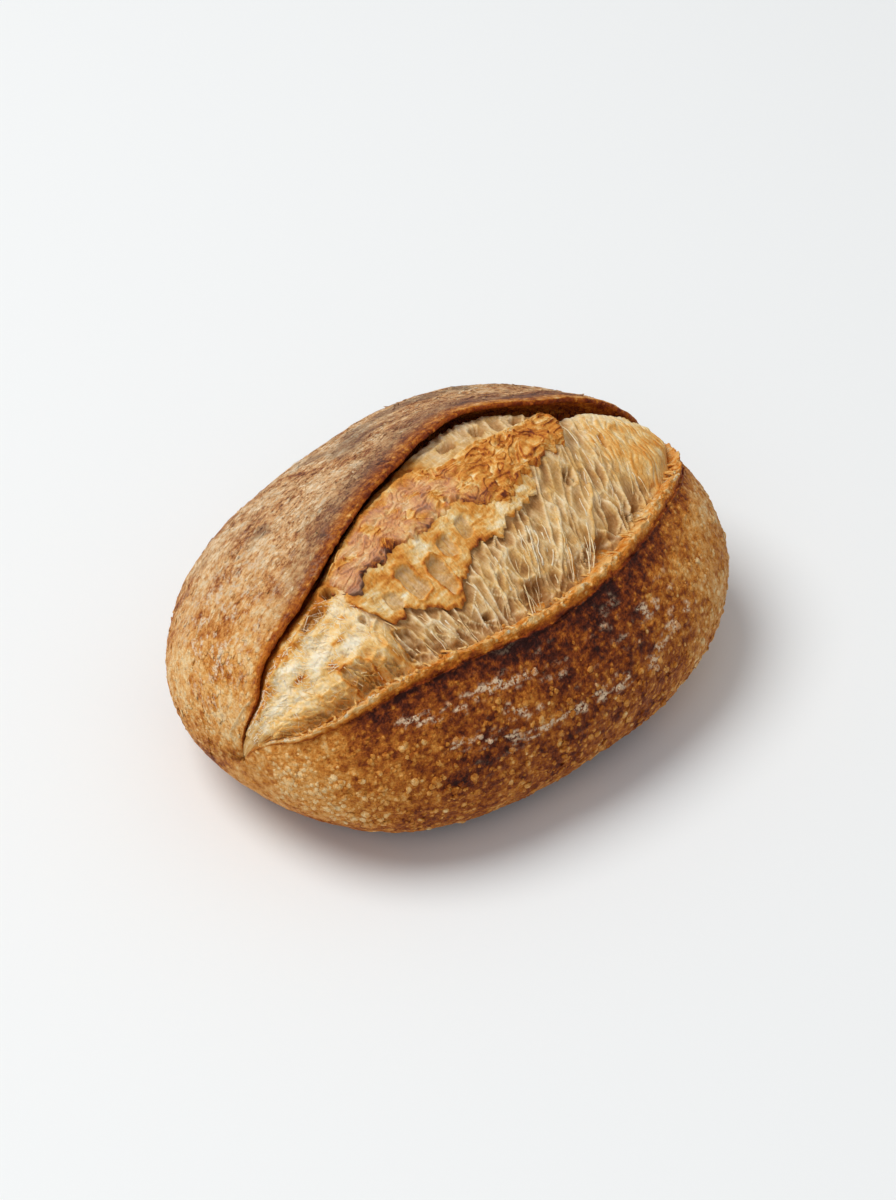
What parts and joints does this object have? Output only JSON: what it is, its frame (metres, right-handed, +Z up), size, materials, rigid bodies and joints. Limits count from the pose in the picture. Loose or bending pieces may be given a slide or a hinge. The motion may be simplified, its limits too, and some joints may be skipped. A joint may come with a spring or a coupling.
{
  "type": "sourdough loaf",
  "caption": "Oval sourdough loaf baked free-standing, its crust burst along one lengthwise score into a raised ear, a torn rim and a pale stretched crumb between them.",
  "frame": {"origin": "middle of the footprint, at the level of the flat base", "axes": "+X along the loaf towards its broader end, +Y across towards the side with the raised ear, +Z up"},
  "size_m": [0.2398, 0.1928, 0.1066],
  "materials": {
    "crust": "matte, baked brown"
  },
  "bodies": {
    "root": {"loaf": "crust"}
  },
  "joints": []
}
